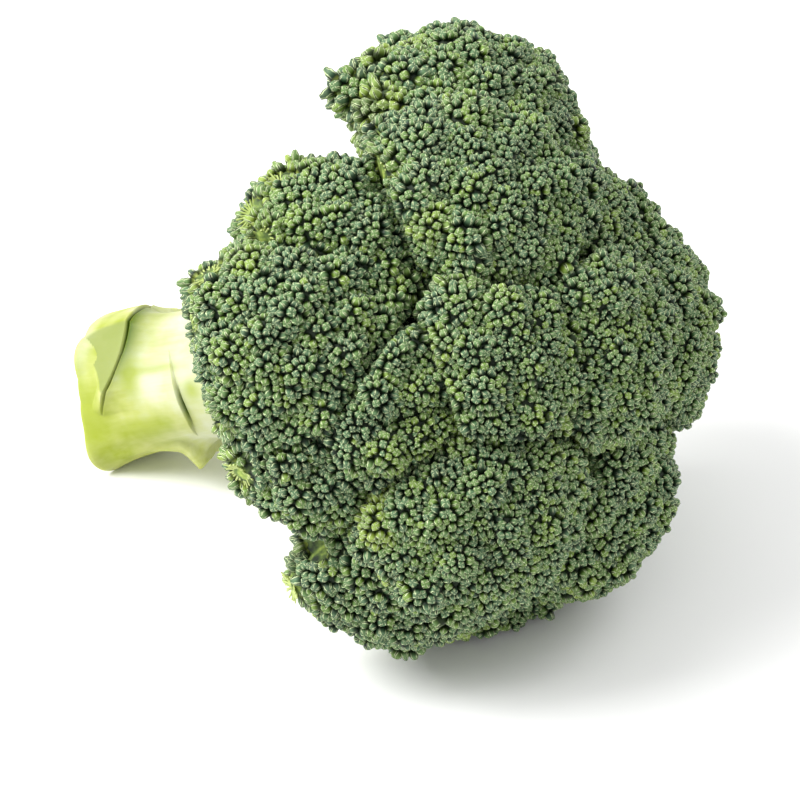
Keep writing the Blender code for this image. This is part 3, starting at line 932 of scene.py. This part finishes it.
# The narrow creases at the axils of the stub and of the leaf base beside it, and the stub's shade
CREASE_WIDTH, CREASE_SIDE = 0.9, 0.12
STUB_CREASE, BASE_CREASE = 2.6, 1.8
BASE_CREASE_MIDDLE, BASE_CREASE_HALF = 93, 16
BASE_MIDDLE, BASE_AXIL, BASE_HALF, _, _, BASE_DROOP = LEAF_BASES[0]
SHADE_DEPTH, SHADE_REACH, SHADE_FADE = 1.35, 3.8, 1.5

# The plain stalk: its waist, how much it closes at its top, and its waves: height, number round it, length
WAIST_DEPTH, WAIST_PLACE, TOP_CLOSING = 1.2, 30, 0.45
WAVES = ((0.25, 3, 9), (0.15, 7, -6))
SWELLING_FADE = 5

# The swellings of the cut end's rim: place round it, half width, height, and how far each runs up the stalk
END_SWELLINGS = ((30, 24, 3.2, 4.5), (64, 12, -1.0, 9), (92, 16, 1.8, 9), (112, 14, 5.0, 9),
                 (130, 17, 6.0, 9))
END_ROUNDING, END_ROUNDED = 0.7, 1.5

# The hanging flap, and the ridge that joins it to the foot: each end's place along the stalk and round it
FLAP_MIDDLE, FLAP_HALF, FLAP_HEIGHT, FLAP_PLACE, FLAP_REACH = 151, 11, 5.0, -39, 6.5
RIDGE_START, RIDGE_END = (-58, 124), (-40, 141)
RIDGE_HEIGHT, RIDGE_WIDTH, RIDGE_FADE = 0.9, 1.5, 3

# The stalk's grid: points round it, rings before, between and beyond the axils, and more along each axil
STALK_SIDES = 280
RINGS_BELOW, RINGS_BETWEEN, RINGS_ABOVE = 44, 40, 84
NEAR_AXIL = np.array([-0.6, -0.25, 0.0, 0.04, 0.15, 0.45, 0.65, 0.9, 1.1])

# Whitish and green patches: strength, place round the stalk and along it, half width, reach. The whitish one
# at 30 round and -64 along is a painted highlight
PALE_AND_HIGHLIGHT_PATCHES = ((1, 66, -38, 17, 5.5), (0.8, 20, -30, 60, 12), (0.7, 30, -64, 30, 2.5),
                (0.5, 125, -36, 14, 8))
GREEN_PATCHES = ((1, 60, -46, 22, 3.5), (1, 105, -44, 11, 9), (1, 90, -62, 22, 7), (1, 78, -24, 12, 4),
                 (0.8, 55, -36, 5, 9), (1, 70, -66, 34, 5))


def turned_from(around, middle):
    """Angle in degrees from the middle, between -180 and 180."""
    return (np.degrees(around) - middle + 180) % 360 - 180


def hump(away, half):
    """1 in the middle, falling smoothly to the sides."""
    return np.exp(-((away / half) ** 2))


def stub_across(around):
    return np.clip(turned_from(around, STUB_MIDDLE) / STUB_HALF, -1, 1)


def base_across(around):
    return np.clip(turned_from(around, BASE_MIDDLE) / BASE_HALF, -1, 1)


def base_strength(around):
    """How strongly the crease beside the stub shows."""
    return hump(turned_from(around, BASE_CREASE_MIDDLE), BASE_CREASE_HALF)


def stub_axil(around):
    return STUB_AXIL - STUB_DROOP * stub_across(around) ** 2


def base_axil(around):
    return BASE_AXIL - BASE_DROOP * base_across(around) ** 2


def cut_lean(around):
    """How squarely the flat cut faces each way round the stalk."""
    return np.maximum(np.cos(np.radians(turned_from(around, CUT_MIDDLE))), LEAST_LEAN)


def plain_stalk(along, around):
    """The stalk's radius without its leaf bases."""
    waist = WAIST_DEPTH * np.cos(np.clip((along + WAIST_PLACE) / WAIST_PLACE, -1, 1) * math.pi / 2)
    closing = np.clip(along / STALK_TOP, 0, 1)
    radius = (STALK_RADIUS - waist) * (1 - TOP_CLOSING * closing**2)
    for height, times, length in WAVES:
        radius = radius + height * np.sin(times * around + along / length)
    return radius


def leaf_bases(along, around):
    """How far the leaf bases stand out of the stalk: sharp at the axil, fading towards the cut end."""
    total = np.zeros_like(along)
    for middle, axil, half, length, height, droop in LEAF_BASES:
        across = np.clip(np.abs(turned_from(around, middle)) / half, 0, 1)
        back = (axil - droop * across**2 - along) / length
        rise = np.clip(back * length / AXIL_WIDTH, 0, 1) if middle != BASE_MIDDLE else back >= 0
        total = np.maximum(total, height * (1 - across**2) ** BASE_ROUNDING * rise
                           * np.clip(1 - back, 0, 1) ** BASE_FADING)
    return total


def stub_edge(around):
    """How high the stub stands at its axil, above the axis."""
    skin = STALK_RADIUS + STUB_HEIGHT * np.sqrt(1 - stub_across(around) ** 2)
    return np.minimum(skin, CUT_HEIGHT / cut_lean(around))


def big_stub(along, around):
    """The height of the big stub above the axis, and how fully each place is on its flat cut."""
    across = stub_across(around)
    back = stub_axil(around) - along
    length = STUB_LENGTH * np.exp((STUB_LONGEST_AT - turned_from(around, 0)) / STUB_SHORTENING)
    fade = 1 - STUB_FADE * np.clip(back / np.clip(length, *STUB_LENGTHS), 0, 1) ** STUB_FADING
    skin = STALK_RADIUS + STUB_HEIGHT * np.sqrt(1 - across**2) * fade
    cut = (CUT_HEIGHT + CUT_SLOPE * (along - STUB_AXIL)) / cut_lean(around)
    on_stub = back >= 0
    on_cut = np.clip((skin - cut - LEAST_CUT) / CUT_EDGE, 0, 1) * on_stub
    return np.where(on_stub, np.minimum(skin, cut), 0), on_cut


def past_stub_swelling(past, around, plain):
    """How far the stalk still swells on the head's side of the stub."""
    over = np.clip(stub_edge(around) - STUB_STEP - plain, 0, None)
    return np.where(past > 0, over * np.exp(-np.clip(past, 0, None) / SWELLING_FADE), 0)


def flap(along, around):
    across = np.clip(1 - np.abs(turned_from(around, FLAP_MIDDLE)) / FLAP_HALF, 0, 1)
    return FLAP_HEIGHT * across * np.clip(1 - np.abs(along - FLAP_PLACE) / FLAP_REACH, 0, 1)


def ridge(along, around):
    (a0, t0), (a1, t1) = RIDGE_START, RIDGE_END
    share = np.clip((along - a0) / (a1 - a0), 0, 1)
    away = turned_from(around, 0) - (t0 + (t1 - t0) * share)
    beyond = np.abs(along - (a0 + (a1 - a0) * share))
    across = np.radians(away) * STALK_RADIUS / RIDGE_WIDTH
    return RIDGE_HEIGHT * np.exp(-(across**2) - (beyond / RIDGE_FADE) ** 2)


def crease(past, across, depth):
    """How deep a narrow crease is, just past an axil on the head's side."""
    side = np.clip(past / CREASE_SIDE, 0, 1) * np.clip((CREASE_WIDTH - past) / (CREASE_WIDTH / 2), 0, 1)
    return depth * side * (1 - across**2) ** 0.5


def stalk_radius(along, around):
    """Distance from the axis to the stalk's skin, and how fully each place is on the big stub's flat cut."""
    past_stub, past_base = along - stub_axil(around), along - base_axil(around)
    plain = plain_stalk(along, around)
    radius = plain + past_stub_swelling(past_stub, around, plain) + leaf_bases(along, around)
    for middle, half, height, length in END_SWELLINGS:
        near_end = np.exp((STALK_END - along) / length)
        radius = radius + height * near_end * hump(turned_from(around, middle), half)
    radius = radius + flap(along, around)
    radius = radius + ridge(along, around)
    radius = radius - crease(past_stub, stub_across(around), STUB_CREASE)
    radius = radius - crease(past_base, base_across(around), BASE_CREASE * base_strength(around))
    stub, cut = big_stub(along, around)
    return np.maximum(radius, stub), cut * (stub > radius)


def spaced(low, high, count):
    return low + (high - low) * np.linspace(0, 1, count)


def ring_places(around):
    """Places along the stalk at one angle, with rings that follow both axils and their creases."""
    stub, base = stub_axil(around), base_axil(around)
    below = spaced(STALK_END, stub + NEAR_AXIL[0], RINGS_BELOW)
    between = spaced(stub + NEAR_AXIL[-1], base + NEAR_AXIL[0], RINGS_BETWEEN)
    above = spaced(base + NEAR_AXIL[-1], STALK_TOP, RINGS_ABOVE)
    return np.concatenate([below[:-1], stub + NEAR_AXIL, between[1:-1], base + NEAR_AXIL, above[1:]])


def patches(along, around, listed):
    """How strongly the listed soft-edged patches show at each place."""
    total = 0
    for strength, middle, place, half, reach in listed:
        away = turned_from(around, middle) / half
        total = total + strength * np.exp(-(away**2) - ((along - place) / reach) ** 2)
    return np.clip(total, 0, 1)


def stalk_shade(along, around):
    """How deep in shade each place is, past the stub and in the crease beside it."""
    past_stub, past_base = along - stub_axil(around), along - base_axil(around)
    shade = np.where(past_stub > 0, np.clip(SHADE_DEPTH * np.exp(-past_stub / SHADE_REACH), 0, 1), 0)
    shade = shade * (1 - stub_across(around) ** 2) ** SHADE_FADE
    narrow = np.where(past_base > 0, np.exp(-past_base), 0) * base_strength(around)
    return np.maximum(shade, narrow)


def stalk_piece(finish):
    turns = np.arange(STALK_SIDES) * 2 * math.pi / STALK_SIDES
    along = np.stack([ring_places(turn) for turn in turns], axis=1)
    rings = len(along)
    along, around = along.ravel(), np.tile(turns, rings)
    radius, cut = stalk_radius(along, around)
    radius = radius - END_ROUNDING * np.clip(1 - (along - STALK_END) / END_ROUNDED, 0, 1) ** 2
    spokes = np.outer(np.cos(around), UP) + np.outer(np.sin(around), SIDE)
    points = FORK + AXIS * along[:, None] + spokes * radius[:, None]
    points[:, 2] = np.maximum(points[:, 2], STALK_LOWEST)
    points = np.vstack([points, FORK + AXIS * STALK_END, FORK + AXIS * STALK_TOP])
    stalk = mesh_object("stalk_body", points, lathe_faces(rings, STALK_SIDES), finish)
    for name, values, ends in (
            ("cut", cut, [0, 0]),
            ("pale", patches(along, around, PALE_AND_HIGHLIGHT_PATCHES), [0, 0]),
            ("green", patches(along, around, GREEN_PATCHES), [0, 0]),
            ("shade", stalk_shade(along, around), [0, 0]),
            ("along", (along - STALK_END) / (STALK_TOP - STALK_END), [0, 1])):
        store(stalk.data, name, "FLOAT", np.append(values, ends))
    return stalk


# Branches and stems

# The branches' shared core in the stalk's top: places along the axis, and its radii at shares of its length
CORE_PLACES, CORE_POINTS = (-26, -14, -4, 5, 13), 12
CORE_SHARES, CORE_RADII = (0, 0.3, 0.6, 1), (14, 17.8, 17.0, 9.0)

# Each branch: where it leaves the axis, its bend, its end below the crown, its radii at shares of its length,
# and the point of it where its twigs start
ROOT_SPACING, BRANCH_SAG, TWIG_DROP, BRANCH_TIP = 38.0, 3.0, 24.0, 5.0
BRANCH_RADIUS, TYPICAL_SPREAD = 7.0, 30.0
BRANCH_POINTS, BRANCH_SIDES, TWIG_ORIGIN = 16, 24, -6
BRANCH_SHARES, BRANCH_SHAPE = (0, 0.45, 0.8, 1), (1.15, 0.95, 1.0, 0.7)
MELT_GRAIN, MELT_ROUNDS = 0.0012, 6

# The twigs that fan out from a branch's tip to its crown's underside
TWIGS, TWIG_SPREAD, TWIG_JITTER, TWIG_REACH = 26, math.radians(80), 0.05, 0.97
TWIG_START, TWIG_BEND, TWIG_SPLAY = 2, 1.5, 0.1
TWIG_RADII, TWIG_TAPER, TWIG_POINTS, STEM_SIDES = (1.5, 2.4), (1.5, 0.8), 7, 8


def branch_line(crown):
    """The branch's way from the axis to just under its crown."""
    tip = crown.middle - crown.out * TWIG_DROP
    lean = 1 - crown.out @ AXIS
    root = FORK - AXIS * lean * ROOT_SPACING
    bend = (root + tip) / 2 + AXIS * lean * BRANCH_SAG
    return [root, bend, tip, tip + crown.out * BRANCH_TIP]


def smooth_line(points, count):
    """Points along a smooth curve through a few points."""
    points = np.array(points)
    ends = np.vstack([2 * points[0] - points[1], points, 2 * points[-1] - points[-2]])
    found = []
    for place in np.linspace(0, len(points) - 1, count):
        k = min(int(place), len(points) - 2)
        t = place - k
        a, b, c, d = ends[k:k + 4]
        found.append(0.5 * (2 * b + (c - a) * t + (2 * a - 5 * b + 4 * c - d) * t**2
                            + (3 * b - a - 3 * c + d) * t**3))
    return np.array(found)


class Lines:
    """Lines to sweep: points, their thickness, and the edges that join them."""

    def __init__(self):
        self.points, self.edges, self.thickness = [], [], []

    def add(self, line, thickness):
        first = len(self.points)
        self.points += list(line)
        self.thickness += list(thickness)
        self.edges += [(k, k + 1) for k in range(first, len(self.points) - 1)]

    def swept(self, name, tree, sides, finish):
        mesh = plain_mesh(name, self.points, self.edges, [])
        store(mesh, "thickness", "FLOAT", self.thickness)
        return grown(placed(name, mesh), tree, {"Sides": sides, "Stem Finish": finish})


def twig_ends(crown, draw):
    """Where a crown's twigs end, spread evenly under the crown."""
    index = np.arange(TWIGS) + 0.5
    angles = math.pi - np.arccos(1 - (1 - math.cos(TWIG_SPREAD)) * index / TWIGS)
    local = unit(spherical(angles, index * GOLDEN_ANGLE) + draw.normal(0, TWIG_JITTER, (TWIGS, 3)))
    return crown.middle + crown.world(local) * (crown.reach(local) * TWIG_REACH)[:, None]


def add_twigs(crown, tip, lines, draw):
    for end in twig_ends(crown, draw):
        across = end - tip - crown.out * ((end - tip) @ crown.out)
        middle = tip + (end - tip) * 0.5 - crown.out * TWIG_BEND + across * TWIG_SPLAY
        start = tip - crown.out * TWIG_START + across * TWIG_SPLAY
        radius = draw.uniform(*TWIG_RADII) * crown.spread / TYPICAL_SPREAD
        taper = np.linspace(*TWIG_TAPER, TWIG_POINTS)
        lines.add(smooth_line([start, middle, end], TWIG_POINTS), radius * taper)


def branch_pieces(crowns, thin, tree, finish):
    """Branches from the stalk melted into one piece, and the twigs and fan stems as another."""
    thick = Lines()
    core = smooth_line([FORK + AXIS * place for place in CORE_PLACES], CORE_POINTS)
    thick.add(core, np.interp(np.linspace(0, 1, CORE_POINTS), CORE_SHARES, CORE_RADII))
    shares = np.linspace(0, 1, BRANCH_POINTS)
    for number, crown in enumerate(crowns):
        line = smooth_line(branch_line(crown), BRANCH_POINTS)
        radius = BRANCH_RADIUS * crown.spread / TYPICAL_SPREAD
        thick.add(line, radius * np.interp(shares, BRANCH_SHARES, BRANCH_SHAPE))
        add_twigs(crown, line[TWIG_ORIGIN], thin, np.random.default_rng(TWIG_SEED + number))
    branches = thick.swept("branches", tree, BRANCH_SIDES, finish)
    return fused(branches, MELT_GRAIN, MELT_ROUNDS), thin.swept("twigs", tree, STEM_SIDES, finish)


# Stage

CAMERA_AZIMUTH = math.radians(35)
CAMERA_ELEVATION = math.radians(34.5)
CAMERA_DISTANCE = 1.1
CAMERA_RANGE = (0.05, 20)
SENSOR_WIDTH = 36
VIEW_WIDTH = 0.208
AIM_RIGHT = 0.026
AIM_UP = -0.0094
FLOOR_HALF = 3000
SKY_STRENGTH = 0.8

# The lights: place to the right, up and towards the camera, size and power
LIGHTS = {
    "key light": ((-0.9, 0.72, 0.66), 0.9, 25.5),
    "fill light": ((0.9, 0.9, 0.2), 1.0, 6.0),
}


def camera_axes():
    a, e = CAMERA_AZIMUTH, CAMERA_ELEVATION
    back = Vector((math.sin(a) * math.cos(e), -math.cos(a) * math.cos(e), math.sin(e)))
    right = Vector((math.cos(a), math.sin(a), 0))
    return right, back.cross(right), back


def stand(name, data, target, way, times=1):
    """An object that many times the way off from the target, turned to look back at it."""
    obj = placed(name, data)
    obj.location = target + way * times
    obj.rotation_mode = "QUATERNION"
    obj.rotation_quaternion = way.to_track_quat("Z", "Y")
    return obj


def set_camera(target, back):
    data = bpy.data.cameras.new("camera")
    data.sensor_width = SENSOR_WIDTH
    data.lens = SENSOR_WIDTH * CAMERA_DISTANCE / VIEW_WIDTH
    data.clip_start, data.clip_end = CAMERA_RANGE
    bpy.context.scene.camera = stand("camera", data, target, back, CAMERA_DISTANCE)


def lay_floor():
    corners = [(-1, -1, 0), (1, -1, 0), (1, 1, 0), (-1, 1, 0)]
    floor = mesh_object("floor", np.array(corners) * FLOOR_HALF, [(0, 1, 2, 3)], floor_finish(), smooth=False)


def light_studio(target, right, up, back):
    world = bpy.data.worlds.new("studio")
    world.use_nodes = True
    sky = world.node_tree.nodes["Background"].inputs
    sky["Color"].default_value = (1, 1, 1, 1)
    sky["Strength"].default_value = SKY_STRENGTH
    bpy.context.scene.world = world
    for name, ((aside, above, nearer), size, power) in LIGHTS.items():
        light = bpy.data.lights.new(name, "AREA")
        light.energy, light.size = power, size
        stand(name, light, target, right * aside + up * above + back * nearer)


def stage():
    bpy.context.scene.view_settings.view_transform = "Standard"
    right, up, back = camera_axes()
    target = Vector(FORK * METRES) + right * AIM_RIGHT + up * AIM_UP
    set_camera(target, back)
    lay_floor()
    light_studio(target, right, up, back)


# The head

def build():
    stage()
    finishes = {"bud": bud_finish(), "bed": bed_finish(), "stalk": stalk_finish(), "stem": stem_finish()}
    trees = {"buds": bud_planting_tree(), "tubes": tube_tree(), "bud shapes": bud_shapes()}
    crowns = grow_crowns()
    stems = Lines()
    for number, crown in enumerate(crowns):
        for piece in dress_crown(crown, number, trees, finishes, stems):
            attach(piece, "root")
            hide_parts(crown.name)
    stalk = stalk_piece(finishes["stalk"])
    branches, twigs = branch_pieces(crowns, stems, trees["tubes"], finishes["stem"])
    for piece in (stalk, branches, twigs):
        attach(piece, "root")
        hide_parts("stalk")


build()
